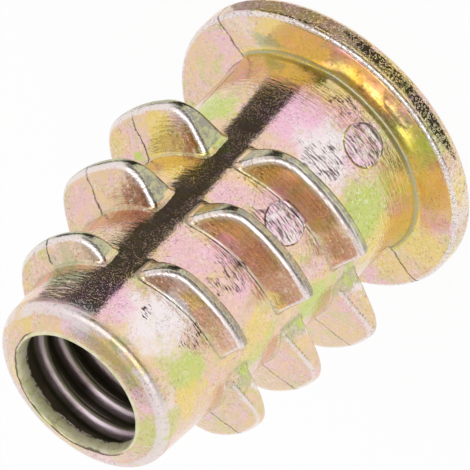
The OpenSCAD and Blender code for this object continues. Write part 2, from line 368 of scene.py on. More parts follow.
def build_casting(p, thread):
    """The casting as one closed skin: rows of points, each of them a ring round the axis."""
    c = Casting(p)
    n = p.columns - p.columns % COLUMN_STEP
    theta = SEAM - 360.0 * np.arange(n) / n
    a = np.radians(theta)
    one = np.ones(n)
    rows = []

    def row(r, z):
        rows.append((r * one, z * one))

    def round_edge(r, z, radius, angles):
        for b in np.radians(angles):
            row(r + radius * math.cos(b), z + radius * math.sin(b))

    hex_r = (p.hex_af / MM / 2) / np.cos(np.radians((theta % 60.0) - 30.0))
    hex_z, flange_r, t = p.hex_depth / MM, p.flange_d / MM / 2, c.flange_t
    minor, major = thread.minor_d / MM / 2, thread.major_d / MM / 2
    entry_z = c.top - thread.entry / MM

    # bore, from the socket's floor to the plain entry
    for r, z in [(major, hex_z + 0.02), (major, 9), (major, 13), (major, 17), (major, entry_z - 0.35),
                 (major - 0.1, entry_z - 0.2)]:
        row(r, z)
    # mouth of the bore: its lower edge is ragged, and it opens out a little on the far half
    worn = np.clip(0.5 + 1.2 * np.sin(a - 0.25), 0, 1)
    ragged = 0.02 * np.sin(17 * a) * np.sin(5 * a + 1) + 0.012 * np.sin(41 * a + 2)
    for r, z, out in [(minor + 0.08, entry_z, 0), (minor + 0.01, entry_z + 0.07, 0),
                      (minor - 0.02, entry_z + 0.14, 0.01)]:
        row(r + out * worn, z + ragged)
    for r, z, out in [(minor - 0.02, c.top - 0.3, 0.12), (minor - 0.02, c.top - 0.06, MOUTH_WEAR),
                      (minor + 0.03, c.top - 0.01, MOUTH_WEAR), (minor + 0.1, c.top - 0.012, MOUTH_WEAR)]:
        row(r + out * worn, z)
    # face of the nose and its rounded edge
    row(minor + 0.5, c.top - 0.15)
    row(4.1, c.edge_z + 0.08)
    nose_z = c.edge_z - c.nose_r
    round_edge(float(c.shank(np.array(nose_z))) - c.nose_r, nose_z, c.nose_r,
               np.linspace(88, 0, 7, endpoint=False))

    # shank with its ribs
    first_outer = len(rows)
    zo = casting_rows(c, theta)
    angles = np.broadcast_to(theta, zo.shape)
    ro = c.outside(angles, zo)
    masks = c.surface(angles, zo, ro)
    for r, z in zip(ro, zo):
        row(r, z)
    last_outer = len(rows) - 1

    # foot of the neck, with the flare on the near half
    near = np.clip(-np.sin(a) * 14.0 + 0.5, 0, 1)
    near = near * near * (3 - 2 * near)
    flare = near * (p.flare_d / MM / 2 - float(c.shank(np.array(t))))
    leaning = 1 - np.clip((np.cos(a - math.radians(UPRIGHT_AT)) - 0.94) / 0.05, 0, 1)
    for height, share in FLARE:
        lean = 1 if share == 1.0 else leaning
        fillet = NECK_FILLET_W * max(0.0, 1 - height / NECK_FILLET_H) ** 2
        row(c.shank(np.array(t + height)) + flare * share * lean + fillet, t + height)

    # flange and socket
    rim = p.rim_r / MM
    for r in (6.15, 6.5, 7.1, flange_r - rim - 0.05):
        row(r, t)
    round_edge(flange_r - rim, t - rim, rim, np.linspace(90, 0, 9))
    round_edge(flange_r - rim, rim, rim, np.linspace(0, -90, 9))
    chamfer_r = p.hex_af / MM / math.sqrt(3) + 0.06
    for r in (6.5, 5.2, chamfer_r):
        row(r, 0)
    row(hex_r, 0.05 + 0.45 * (chamfer_r - hex_r))
    for z in (0.8, 2.2, 3.8, hex_z - 0.02):
        row(hex_r, z)
    row(hex_r - 0.03, hex_z)
    row(major + 0.03, hex_z)

    verts = np.concatenate([np.stack([r * np.cos(a), r * np.sin(a), z], -1) for r, z in rows])
    faces = []
    for k in range(len(rows)):
        k2 = (k + 1) % len(rows)
        for j in range(n - 1):
            faces.append((k * n + j, k * n + j + 1, k2 * n + j + 1, k2 * n + j))
        if not first_outer <= k < last_outer:
            faces.append((k * n + n - 1, k * n, k2 * n, k2 * n + n - 1))
    # the ribs climb, so the outside's rows meet a step higher at the seam and are zipped there
    ia = [(first_outer + k) * n + n - 1 for k in range(len(zo))]
    ib = [(first_outer + k) * n for k in range(len(zo))]
    faces += [f[::-1] for f in zip_columns(zo[:, -1], zo[:, 0], ia, ib)]
    obj = make_mesh("insert_casting", verts, faces)
    for name, mask in masks.items():
        values = np.zeros(len(verts), dtype=np.float32)
        values[first_outer * n:(last_outer + 1) * n] = mask.reshape(-1)
        obj.data.attributes.new(name, "FLOAT", "POINT").data.foreach_set("value", values)
    return obj


# -------- node helpers

class Nodes:
    """Short way to write a tree of nodes."""

    def __init__(self, tree):
        self.tree = tree

    def link(self, a, b):
        self.tree.links.new(a, b)

    def feed(self, socket, value):
        if isinstance(value, bpy.types.NodeSocket):
            self.link(value, socket)
        else:
            socket.default_value = value

    def add(self, kind, inputs=None, **settings):
        """A node with its settings, and with values or other nodes' outputs in its inputs."""
        node = self.tree.nodes.new(kind)
        for key, value in settings.items():
            setattr(node, key, value)
        for key, value in (inputs or {}).items():
            self.feed(node.inputs[key], value)
        return node

    def math(self, operation, a, b=0.0, clamp=False):
        node = self.add("ShaderNodeMath", {0: a, 1: b}, operation=operation, use_clamp=clamp)
        return node.outputs[0]

    def times(self, a, b):
        return self.math("MULTIPLY", a, b)

    def plus(self, a, b):
        return self.math("ADD", a, b)

    def all_of(self, *masks):
        """The product of the masks."""
        product = masks[0]
        for mask in masks[1:]:
            product = self.times(product, mask)
        return product

    def any_of(self, *masks):
        """The highest of the masks."""
        highest = masks[0]
        for mask in masks[1:]:
            highest = self.math("MAXIMUM", highest, mask)
        return highest

    def band(self, value, low, high):
        """0 at low, 1 at high, smooth between; falls where low is above high."""
        return self.add("ShaderNodeMapRange", {"Value": value, "From Min": low, "From Max": high},
                        interpolation_type="SMOOTHSTEP").outputs["Result"]

    def span(self, value, low_mm, high_mm):
        """A band between two places in mm."""
        return self.band(value, low_mm * MM, high_mm * MM)

    def fine_line(self, value, centre_mm, half_mm, soft_mm):
        """1 close to a place in mm, 0 away from it."""
        off = self.math("ABSOLUTE", self.math("SUBTRACT", value, centre_mm * MM))
        return self.span(off, half_mm, soft_mm)

    def ramp(self, factor, a, b):
        """A number that goes from a to b as factor goes from 0 to 1."""
        return self.plus(self.times(factor, b - a), a)

    def noise(self, vector, scale, detail=3.0, rough=0.5, distortion=0.0):
        return self.add("ShaderNodeTexNoise", {"Vector": vector, "Scale": scale, "Detail": detail,
                                               "Roughness": rough, "Distortion": distortion}).outputs["Fac"]

    def mix(self, factor, a, b):
        """Colour a where factor is 0, colour b where it is 1."""
        a, b = (v if isinstance(v, bpy.types.NodeSocket) else (*v, 1.0) for v in (a, b))
        node = self.add("ShaderNodeMix", {"Factor": factor, "A": a, "B": b}, data_type="RGBA")
        return node.outputs["Result"]

    def stretch(self, vector, scale=(1.0, 1.0, 1.0), turn=(0, 0, 0)):
        return self.add("ShaderNodeMapping", {"Vector": vector, "Scale": scale,
                                              "Rotation": turn}).outputs["Vector"]

    def join(self, x=0.0, y=0.0, z=0.0):
        return self.add("ShaderNodeCombineXYZ", {0: x, 1: y, 2: z}).outputs[0]

    def distance(self, vector, centre_mm):
        return self.add("ShaderNodeVectorMath", {0: vector, 1: [v * MM for v in centre_mm]},
                        operation="DISTANCE").outputs["Value"]

    def near(self, vector, centre_mm, radius_mm, soft):
        """1 inside a ball, 0 outside."""
        r = radius_mm * MM
        return self.band(self.distance(vector, centre_mm), r, r * (1 - soft))


# -------- finish

def point_at(angle_deg, z, r):
    """Point in mm, by its angle, its height and its distance from the axis."""
    a = math.radians(angle_deg)
    return (r * math.cos(a), r * math.sin(a), z)


# scuffed places and stippled places: angle, height, distance from the axis and radius in mm
SCUFFS = ((-76, 5.3, 5.5, 1.0), (-84, 4.6, 5.5, 0.9), (-88, 5.4, 5.5, 0.7), (-69, 2.3, 5.6, 0.8),
          (-80, 2.0, 5.7, 0.6), (-88, 14.0, 5.1, 1.0), (-85, 12.6, 5.2, 0.9), (-95, 13.2, 5.2, 0.7),
          (-72, 17.5, 4.9, 0.6), (-99, 16.8, 4.9, 0.7), (-79, 10.0, 5.4, 0.7))
STIPPLED = ((-60, 8.2, 6.2, 1.7), (-62, 12.2, 5.9, 1.6), (-66, 16.2, 5.4, 1.3), (-30, 8.6, 6.2, 1.7),
            (-27, 12.6, 5.8, 1.6), (-105, 20.2, 4.0, 1.0), (150, 20.2, 4.0, 1.2))
# painted shade and a painted highlight on the bore's flanks: colour, place in mm, radius in mm and strength
BORE_SHADING = (("bore_shade", point_at(98, 16.1, 3.6), 2.7, 0.95),
               ("bore_highlight", point_at(135, 17.6, 3.6), 2.0, 1.0))
EJECTOR_MARKS = (2.9, 9.0)          # heights in mm
MEAN_SHANK_R = 5.4                  # mm, for the unrolled outside
WANDER = 3.0                        # mm, how far the edge of a patch wanders

# placed patches: colour, angle, height, distance from the axis, radius in mm and strength; the pale ones are
# painted highlights
PATCHES = (
    # nose
    ("rose", -54, 18.3, 4.9, 1.5, 0.8), ("pale", -80, 17.6, 4.9, 2.2, 1.0),
    ("green", -99, 18.8, 4.9, 0.9, 0.5), ("green", -113, 17.7, 4.9, 1.6, 0.8),
    ("pale", -121, 19.7, 4.8, 1.2, 0.5), ("gold", -129, 18.1, 4.9, 1.3, 0.7),
    ("pale", -45, 20.0, 4.4, 1.3, 0.9), ("green", -56, 16.6, 5.0, 0.7, 0.6),
    ("gold", 60, 20.2, 4.0, 1.6, 0.4), ("green", -150, 20.2, 3.9, 1.5, 0.5),
    ("rose", 150, 20.2, 3.9, 1.3, 0.5), ("gold", -72, 20.2, 4.1, 1.0, 0.6),
    ("green", -95, 20.1, 4.2, 0.9, 0.5), ("rose", -115, 20.1, 4.2, 1.0, 0.5),
    ("rose", -40, 20.2, 4.0, 0.9, 0.5), ("gold", 5, 20.2, 4.1, 1.0, 0.5), ("green", 95, 20.1, 4.2, 1.3, 0.5),
    ("rose", 75, 20.1, 4.3, 0.9, 0.5), ("olive", -74, 19.7, 4.7, 0.6, 0.7),
    ("gold", 125, 20.1, 4.2, 1.1, 0.6),
    # shank between the ribs
    ("rose", -64, 13.7, 5.1, 1.6, 0.55), ("rose", -76, 12.6, 5.1, 1.4, 0.7),
    ("rose", -104, 13.9, 5.1, 1.6, 0.35), ("rose", -97, 12.8, 5.1, 1.1, 0.4),
    ("gold", -129, 13.4, 5.2, 1.8, 0.6), ("green", -141, 13.6, 5.1, 1.2, 0.7),
    ("gold", -112, 10.2, 5.3, 1.4, 0.6), ("rose", -60, 9.7, 5.4, 1.3, 0.6), ("rose", -80, 9.2, 5.4, 1.2, 0.6),
    ("green", -142, 8.8, 5.4, 1.8, 0.9), ("gold", -30, 9.2, 5.4, 1.9, 1.0),
    ("umber", -24, 13.3, 5.2, 1.6, 0.8), ("olive", -17, 17.3, 4.9, 1.9, 1.0),
    # neck
    ("rose", -58, 4.5, 5.5, 2.2, 0.9), ("pale", -80, 4.9, 5.5, 2.2, 1.0), ("rose", -88, 3.6, 5.5, 1.0, 0.5),
    ("green", -117, 4.9, 5.5, 2.1, 0.9), ("gold", -140, 3.8, 5.5, 2.0, 0.8),
    ("green", -12, 5.4, 5.5, 1.9, 0.9), ("rust", -22, 3.9, 5.5, 0.9, 0.35), ("rose", -74, 2.4, 5.6, 1.2, 0.7),
    ("gold", -40, 2.2, 5.7, 1.1, 0.6), ("pale", -14, 6.6, 5.5, 0.8, 0.5),
    # flanks of the ribs
    ("gold", 14, 8.8, 7.0, 1.4, 0.4), ("gold", -13, 8.7, 6.5, 1.3, 0.9), ("umber", -30, 8.7, 6.0, 1.2, 0.8),
    ("rose", 8, 12.9, 6.2, 1.4, 0.4), ("umber", -27, 12.6, 5.8, 1.4, 0.85),
    ("base", -20, 16.8, 5.4, 1.4, 0.9), ("gold", -62, 8.3, 6.1, 1.4, 0.6), ("gold", -64, 12.3, 5.9, 1.2, 0.5),
    ("umber", -66, 16.2, 5.4, 1.1, 0.7), ("olive", -142, 14.5, 5.4, 1.0, 0.8),
    ("olive", -142, 10.7, 5.5, 1.0, 0.8), ("olive", -143, 6.5, 5.6, 1.1, 0.8),
    ("umber", -116, 7.6, 6.5, 1.5, 0.8), ("umber", -108, 11.6, 6.2, 1.7, 0.75),
    ("rust", -100, 15.9, 5.8, 1.8, 0.8), ("rust", -92, 8.0, 6.4, 1.2, 0.4),
    ("rust", -90, 12.0, 5.8, 1.2, 0.4), ("green", 6, 9.15, 5.6, 0.5, 1.0), ("gold", -10, 9.6, 5.4, 1.2, 0.8),
    ("green", -37, 7.9, 5.5, 0.6, 0.9),
    # blunt ends of the far ribs
    ("green", -140, 14.5, 5.2, 0.6, 0.9), ("pale", -148, 14.2, 5.8, 0.5, 0.9),
    ("green", -140, 10.5, 5.3, 0.6, 0.9), ("pale", -148, 10.3, 5.9, 0.5, 0.9),
    ("green", -140, 6.4, 5.4, 0.7, 0.9), ("pale", -149, 6.1, 6.1, 0.5, 0.9),
    # face and rim of the flange
    ("gold", -25, 1.3, 7.0, 1.9, 0.7), ("gold", -45, 1.3, 6.9, 1.6, 0.7), ("umber", -60, 1.3, 6.9, 1.0, 0.7),
    ("olive", -22, 1.35, 6.1, 1.1, 0.9), ("olive", -62, 1.3, 6.4, 1.2, 0.8),
    ("olive", -88, 1.3, 6.5, 1.2, 0.6), ("rose", -75, 1.3, 7.4, 0.8, 0.4),
    ("pale", -128, 0.65, 8.0, 2.2, 0.7), ("pale", -10, 1.3, 7.6, 1.0, 0.3),
    ("umber", -112, 1.3, 7.6, 0.8, 0.4), ("olive", -130, 1.3, 6.2, 1.4, 0.9),
    # touches laid over the rest
    ("gold", -84, 15.9, 5.9, 0.9, 0.9), ("umber", -84, 15.9, 5.9, 0.9, 0.4),
    ("green", -140, 10.0, 5.3, 0.9, 0.7), ("green", -126, 9.9, 5.3, 1.0, 0.5),
    ("gold", -118, 11.2, 5.3, 1.0, 0.6), ("green", -133, 12.4, 5.2, 0.8, 0.4),
    ("rose", -118, 8.9, 5.4, 0.8, 0.4), ("gold", -75, 1.3, 7.0, 2.2, 0.8),
    ("green", -100, 1.3, 6.9, 1.9, 0.8), ("gold", -126, 1.3, 7.0, 2.0, 0.8),
    ("gold", -160, 1.3, 6.9, 2.2, 0.7), ("green", -111, 3.1, 5.6, 1.2, 0.6),
    ("green", -127, 5.0, 5.5, 1.3, 0.6), ("gold", -101, 6.3, 5.5, 0.9, 0.5),
    ("green", -136, 19.9, 4.5, 1.3, 0.5), ("gold", 175, 1.3, 6.8, 1.6, 0.6),
    ("rose", -140, 1.3, 7.3, 0.9, 0.4), ("green", 60, 1.3, 7.0, 1.2, 0.5),
)


class Finish(Nodes):
    """The finish's nodes: places on the part, shared noises, and the tint that the marks are laid on."""

    def __init__(self, tree, props):
        super().__init__(tree)
        self.tones = {key: tuple(getattr(props, key)) for key in props.bl_rna.properties.keys()
                      if key not in ("rna_type", "name")}
        self.tint = self.tones["base"]
        self.place = self.add("ShaderNodeTexCoord").outputs["Object"]
        split = self.add("ShaderNodeSeparateXYZ", {0: self.place})
        self.x, self.y, self.z = split.outputs
        self.out = self.math("SQRT", self.plus(self.times(self.x, self.x), self.times(self.y, self.y)))
        # place on the unrolled outside: along the round, along the axis, out from the axis
        turn = self.math("ARCTAN2", self.x, self.times(self.y, -1.0))
        self.unrolled = self.join(self.times(turn, MEAN_SHANK_R * MM), self.z, self.out)
        # place moved about by a noise, so that patches get wavy edges
        moved = self.add("ShaderNodeTexNoise", {"Vector": self.place, "Scale": 900.0, "Detail": 4.0,
                                                "Roughness": 0.65})
        shift = self.add("ShaderNodeVectorMath", {0: moved.outputs["Color"], 1: (WANDER * MM,) * 3,
                                                  2: self.place}, operation="MULTIPLY_ADD")
        centred = self.add("ShaderNodeVectorMath", {0: shift.outputs[0], 1: (WANDER * MM / 2,) * 3},
                           operation="SUBTRACT")
        self.wavy = centred.outputs[0]
        self.warp = moved.outputs["Fac"]
        self.wobble = self.math("SUBTRACT", self.warp, 0.5)
        self.broad = self.noise(self.place, 300.0, 3.0, 0.6, 0.8)
        self.broad2 = self.noise(self.stretch(self.place, (1.0, 1.0, 0.8), (0.7, 0.4, 1.9)),
                                 260.0, 4.0, 0.65, 1.2)
        self.marble = self.noise(self.place, 620.0, 4.0, 0.6, 1.6)
        self.fine = self.noise(self.place, 5200.0, 2.0, 0.7)
        self.speck = self.noise(self.place, 2600.0, 4.0, 0.7)
        self.speck2 = self.noise(self.stretch(self.place, turn=(1.2, 0.3, 0.6)), 2100.0, 4.0, 0.7)

    def shaky(self, value, amount):
        """A value that the wobble shifts by up to half the amount each way."""
        return self.plus(value, self.times(self.wobble, amount))

    def spot(self, angle_deg, z_mm, r_mm, size_mm, soft=0.6):
        """A patch with a wavy edge."""
        return self.near(self.wavy, point_at(angle_deg, z_mm, r_mm), size_mm, soft)

    def paint(self, tone, mask, strength=None):
        """Lay a tone over the film where the mask is."""
        if strength is not None:
            mask = self.times(mask, strength)
        self.tint = self.mix(mask, self.tint, self.tones[tone] if isinstance(tone, str) else tone)


def clouds_and_patches(n):
    """The film's colours, from broad clouds and marbling to the placed patches."""
    marble2 = n.noise(n.stretch(n.place, turn=(0.4, 1.3, 0.2)), 760.0, 4.0, 0.6, 1.6)
    for tone, cloud, low, high, strength in (
            ("rose", n.broad, 0.50, 0.68, 0.6), ("green", n.broad2, 0.55, 0.72, 0.6),
            ("gold", n.broad2, 0.50, 0.30, 0.35), ("rose", n.marble, 0.53, 0.62, 0.35),
            ("green", marble2, 0.54, 0.62, 0.35), ("gold", marble2, 0.46, 0.38, 0.40)):
        n.paint(tone, n.band(cloud, low, high), strength)
    for tone, *patch, strength in PATCHES:
        n.paint(tone, n.spot(*patch), strength)


def golden_neck(n):
    """Golden film where the neck meets the flange, on the near half, and a dark gold painted shade in the
    corner between neck and flange.
    """
    off_axis = n.math("ABSOLUTE", n.plus(n.x, -0.5 * MM))
    gold = n.all_of(n.span(n.shaky(n.z, 1.0 * MM), 2.9, 2.0), n.span(n.y, 0.6, -0.2), n.span(n.out, 6.2, 6.0),
                    n.span(n.out, 5.0, 5.3), n.span(off_axis, 1.0, 2.4))
    n.paint("gold", gold, 0.6)
    n.paint("green", n.times(gold, n.band(n.broad2, 0.45, 0.6)), 0.5)
    # painted shade: dark gold in the corner between neck and flange, which tones down the highlight that its
    # fillet catches
    n.corner = n.all_of(n.span(n.out, 6.00, 5.88), n.span(n.out, 5.55, 5.60), n.span(n.z, 1.70, 1.50),
                        n.span(n.y, 0.1, -0.6))
    n.paint("corner", n.corner, 0.9)


def mottle(n):
    """Fine mottle all over."""
    n.paint("rose", n.band(n.speck, 0.54, 0.66), 0.20)
    n.paint("green", n.band(n.speck2, 0.54, 0.66), 0.20)
    n.paint("pale", n.band(n.speck, 0.46, 0.36), 0.20)


def rib_wear_and_painted_light(n):
    """Crest lands darkened as a painted dark reflection, painted shade at the dull feet of the ribs, and thin
    pale film on all sharp edges, which is also a painted highlight.
    """
    def attribute(name):
        return n.add("ShaderNodeAttribute", attribute_name=name).outputs["Fac"]

    not_far_side = n.span(n.x, -4.2, -3.4)
    # painted dark reflection: the crest lands darkened with bare and olive, away from the far ribs
    n.land = n.times(n.math("MULTIPLY", attribute("crest_land"), 1.8, clamp=True), not_far_side)
    n.paint(n.mix(n.band(n.speck, 0.42, 0.58), n.tones["bare"], n.tones["olive"]), n.land, 0.9)
    # painted shade: olive darkening in the corner at the foot of the ribs
    n.rib_foot = n.band(n.shaky(attribute("rib_foot"), 0.8), 0.30, 0.75)
    n.paint("olive", n.rib_foot, 0.5)
    rim_wear_and_highlight = n.all_of(n.span(n.out, 7.76, 7.82), n.span(n.z, 1.08, 1.14), 0.55)
    nose_edge = n.all_of(n.span(n.out, 4.1, 4.4), n.span(n.z, 19.50, 19.75), n.band(n.broad2, 0.34, 0.50),
                         0.6)
    # the pale on these edges is thin film and also a painted highlight along the crest edges, the rim and the
    # nose's edge
    edge = n.any_of(n.times(attribute("crest_edge"), n.ramp(not_far_side, 0.6, 1.0)), rim_wear_and_highlight, nose_edge)
    n.edge = n.band(n.shaky(edge, 0.8), 0.15, 0.6)
    n.paint("pale", n.edge, 0.8)


def specks_and_lines(n):
    """Light and dark specks, lines round the flanks of the ribs, and grit."""
    n.rim = n.span(n.out, 7.75, 7.9)
    thick = n.math("ADD", n.times(n.band(n.broad2, 0.35, 0.65), 0.35), n.times(n.rim, 0.25), clamp=True)
    for patch in STIPPLED:
        thick = n.any_of(thick, n.times(n.spot(*patch), 0.6))
    thick = n.times(thick, n.math("SUBTRACT", 1.0, n.land))
    n.paint("scuff", n.band(n.fine, 0.59, 0.66), thick)
    n.paint("light", n.band(n.fine, 0.41, 0.34), thick)

    above_shank = n.plus(n.out, n.times(n.z, 0.045))
    wave = n.math("SINE", n.plus(n.times(n.out, 24.0 / MM), n.times(n.wobble, 4.0)))
    lines = n.all_of(n.band(wave, 0.2, 0.9), n.span(above_shank, 6.1, 6.4), n.span(n.y, -3.5, -4.5),
                     n.span(n.z, 3, 4), n.band(n.speck, 0.40, 0.52))
    n.paint("umber", lines, 0.35)

    grit = n.noise(n.place, 9500.0, 2.0, 0.75)
    amount = n.ramp(n.band(n.marble, 0.42, 0.60), 0.05, 0.30)
    n.paint("scuff", n.band(grit, 0.54, 0.68), amount)
    n.paint("light", n.band(grit, 0.46, 0.32), amount)


def bore_and_mouth(n):
    """The bore is dull, with its roots darkened as painted shade and its flanks paler as painted light, a
    dark painted shade on one side and a rosy painted highlight on the other; its mouth has a pale film and
    bright flecks.
    """
    ragged_z = n.plus(n.z, n.times(n.math("SUBTRACT", n.fine, 0.5), 1.0 * MM))
    in_bore = n.span(n.out, 4.10, 4.00)
    n.inner = n.all_of(in_bore, n.span(n.z, 5.2, 5.6), n.span(ragged_z, 19.66, 19.58))
    # painted light: the flanks paler than the roots as if lit, brighter still round the painted highlight
    flank = n.all_of(n.span(n.out, 3.38, 3.46), n.span(n.out, 3.86, 3.76),
                     n.ramp(n.band(n.broad2, 0.35, 0.60), 0.45, 1.0),
                     n.ramp(n.near(n.place, BORE_SHADING[1][1], 3.6, 0.5), 0.5, 1.0))
    inside = n.mix(flank, n.tones["bore"], n.tones["bore_flank"])
    # a painted shade and a painted highlight laid over the flanks
    for tone, centre_mm, size, strength in BORE_SHADING:
        shading = n.all_of(n.near(n.place, centre_mm, size, 0.6), n.ramp(flank, 0.1, 1.0), strength)
        inside = n.mix(shading, inside, n.tones[tone])
    n.paint(inside, n.inner)

    n.mouth = n.times(n.span(n.out, 3.56, 3.50), n.span(ragged_z, 19.58, 19.66))
    film = n.mix(n.band(n.fine, 0.45, 0.58), n.tones["mouth"], n.tones["olive"])
    film = n.mix(n.band(n.speck, 0.40, 0.60), film, n.tones["mouth_thin"])
    n.paint(film, n.mouth, 0.75)
    fleck = n.all_of(in_bore, n.span(n.z, 19.30, 19.45), n.span(n.z, 19.85, 19.70))
    n.paint("crack", fleck, n.band(n.speck2, 0.49, 0.54))
    n.paint("glint", fleck, n.band(n.speck2, 0.44, 0.38))


def creases(n):
    """Lines round the lip and round the foot of the neck, and the parting line, which breaks up."""
    lip = n.all_of(n.fine_line(n.shaky(n.out, 0.25 * MM), 3.56, 0.05, 0.02), n.span(n.z, 20.0, 20.2),
                   n.span(n.y, -0.4, 0.6), n.band(n.broad, 0.36, 0.46))
    n.paint("crack", lip, 0.8)
    foot = n.all_of(n.fine_line(n.shaky(n.out, 0.2 * MM), 5.83, 0.07, 0.02), n.span(n.z, 1.7, 1.5),
                    n.span(n.z, 0.9, 1.2), n.span(n.y, 0.6, -0.2))
    n.paint("line", foot, 0.6)
    n.parting = n.all_of(n.fine_line(n.shaky(n.y, 0.6 * MM), 0.0, 0.07, 0.01),
                         n.span(n.math("ABSOLUTE", n.x), 5.0, 5.3), n.band(n.broad, 0.38, 0.5))
    n.paint("crack", n.parting, 0.8)


def scuffs_and_pin_marks(n):
    """Short dark strokes round the shank, and the round marks of the ejector pins on the near side."""
    stroke = n.noise(n.stretch(n.unrolled, (1.0, 7.0, 7.0), (0, 0, 0.06)), 1900.0, 3.0, 0.7, 0.2)
    scuffed = n.any_of(*(n.spot(*patch, soft=0.7) for patch in SCUFFS))
    discs, rings = [], []
    for mark_z in EJECTOR_MARKS:
        reach = n.shaky(n.distance(n.join(n.x, 0.0, n.z), (0.0, 0.0, mark_z)), 0.12 * MM)
        discs.append(n.span(reach, 1.12, 1.00))
        rings.append(n.fine_line(reach, 1.08, 0.06, 0.01))
    near_side = n.times(n.span(n.y, -4.7, -5.0), n.span(n.out, 5.68, 5.60))
    n.marks = n.times(n.any_of(*discs), near_side)
    ring = n.times(n.any_of(*rings), near_side)
    n.paint("pale", n.marks, 0.8)
    n.paint("rose", n.times(n.marks, n.band(n.speck, 0.46, 0.54)), 0.6)
    dark = n.any_of(n.times(n.band(stroke, 0.52, 0.57), n.band(scuffed, 0.1, 0.7)),
                    n.all_of(n.marks, n.band(stroke, 0.51, 0.57), 0.85),
                    n.all_of(ring, n.band(n.speck2, 0.40, 0.50), 0.45))
    n.paint("scuff", dark)


def roughness(n):
    """Bright on the whole, and duller in the bore, on the edges and at the foot of the neck and ribs."""
    nose_edge = n.all_of(n.span(n.z, 19.25, 19.50), n.span(n.out, 4.05, 4.20), n.band(n.broad, 0.30, 0.50))
    rough = n.ramp(n.warp, 0.06, 0.16)
    for mask, more in ((n.any_of(n.mouth, n.inner), 0.32), (n.edge, 0.10), (n.rib_foot, 0.35),
                       (n.corner, 0.25), (nose_edge, 0.24)):
        rough = n.plus(rough, n.times(mask, more))
    return rough


def cast_grain(n):
    """Cast grain: sparse pits, more on the rim, streaks round the shank, and sunk marks and creases."""
    pits = n.times(n.band(n.noise(n.place, 15000.0, 0.0, 0.5), 0.66, 0.72), n.band(n.broad2, 0.40, 0.60))
    rimmed = n.times(n.rim, n.band(n.noise(n.place, 6500.0, 1.0, 0.5), 0.52, 0.62))
    streak = n.noise(n.stretch(n.unrolled, (1.0, 5.0, 8.0)), 1150.0, 3.0, 0.6)
    height = n.times(pits, -0.6)
    for part, share in ((rimmed, 3.0), (streak, n.ramp(n.span(n.z, 1.5, 2.4), 0.2, 1.0)), (n.fine, 0.25)):
        height = n.plus(height, n.times(part, share))
    raised = n.add("ShaderNodeBump", {"Strength": 0.6, "Distance": 0.03 * MM, "Height": height})
    sunk = n.add("ShaderNodeBump", {"Strength": 0.9, "Distance": 0.06 * MM,
                                    "Height": n.any_of(n.marks, n.parting),
                                    "Normal": raised.outputs["Normal"]}, invert=True)
    return sunk.outputs["Normal"]


def zinc_finish(props):
    """Yellow passivated zinc: pale, with rosy and green patches, fine cast grain and scuffs."""
    material = bpy.data.materials.new(SLOT + "_finish")
    material.use_nodes = True
    n = Finish(material.node_tree, props)
    for lay in (clouds_and_patches, golden_neck, mottle, rib_wear_and_painted_light, specks_and_lines, bore_and_mouth,
                creases, scuffs_and_pin_marks):
        lay(n)
    shader = n.tree.nodes["Principled BSDF"]
    n.link(n.tint, shader.inputs["Base Color"])
    n.link(n.math("SUBTRACT", 1.0, n.times(n.mouth, 0.5)), shader.inputs["Metallic"])
    n.link(roughness(n), shader.inputs["Roughness"])
    n.link(cast_grain(n), shader.inputs["Normal"])
    return material


def dress(obj, material):
    obj.data.materials.clear()
    obj.data.materials.append(material)
    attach(obj, "root")
    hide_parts(NODE)


def finish_material(context):
    """The finish, made once and shared by the casting and the thread."""
    made = bpy.data.materials.get(SLOT + "_finish")
    return made or zinc_finish(context.scene.insert_finish)


# -------- inner thread

SPIRAL_STEPS = 96                   # points in one turn of the thread


def thread_tree(material):
    """A ridge swept along a spiral; its sizes are the tree's inputs."""
    tree = bpy.data.node_groups.new("inner_thread", "GeometryNodeTree")
    face = tree.interface
    face.new_socket("Geometry", in_out="OUTPUT", socket_type="NodeSocketGeometry")
    sockets = {}
    for name, default in (("Pitch", 1.25 * MM), ("Turns", 10.0), ("Start", 5.5 * MM),
                          ("Minor Radius", 3.3 * MM), ("Major Radius", 3.95 * MM),
                          ("Crest Width", 0.16 * MM), ("Root Width", 1.18 * MM)):
        socket = face.new_socket(name, in_out="INPUT", socket_type="NodeSocketFloat")
        socket.default_value = default
        sockets[name] = socket.identifier
    n = Nodes(tree)
    size = n.add("NodeGroupInput").outputs
    minor, major = size["Minor Radius"], size["Major Radius"]
    middle = n.times(n.plus(minor, major), 0.5)
    spiral = n.add("GeometryNodeCurveSpiral", {
        "Resolution": SPIRAL_STEPS, "Reverse": True, "Rotations": size["Turns"], "Start Radius": middle,
        "End Radius": middle, "Height": n.times(size["Pitch"], size["Turns"])})
    upright = n.add("GeometryNodeSetCurveNormal", {"Curve": spiral.outputs["Curve"]}, mode="Z_UP")
    ridge = n.add("GeometryNodeCurvePrimitiveQuadrilateral", {
        "Bottom Width": size["Root Width"], "Top Width": size["Crest Width"],
        "Height": n.math("SUBTRACT", major, minor), "Offset": 0.0}, mode="TRAPEZOID")
    turned = n.add("GeometryNodeTransform", {"Geometry": ridge.outputs["Curve"],
                                             "Rotation": (0.0, 0.0, math.radians(90))})
    sweep = n.add("GeometryNodeCurveToMesh", {"Curve": upright.outputs["Curve"], "Fill Caps": True,
                                              "Profile Curve": turned.outputs["Geometry"]})
    lifted = n.add("GeometryNodeTransform", {"Geometry": sweep.outputs["Mesh"],
                                             "Translation": n.join(z=size["Start"])})
    real = n.add("GeometryNodeRealizeInstances", {"Geometry": lifted.outputs["Geometry"]})
    painted = n.add("GeometryNodeSetMaterial", {"Geometry": real.outputs["Geometry"], "Material": material})
    n.add("NodeGroupOutput", {"Geometry": painted.outputs["Geometry"]})
    return tree, sockets


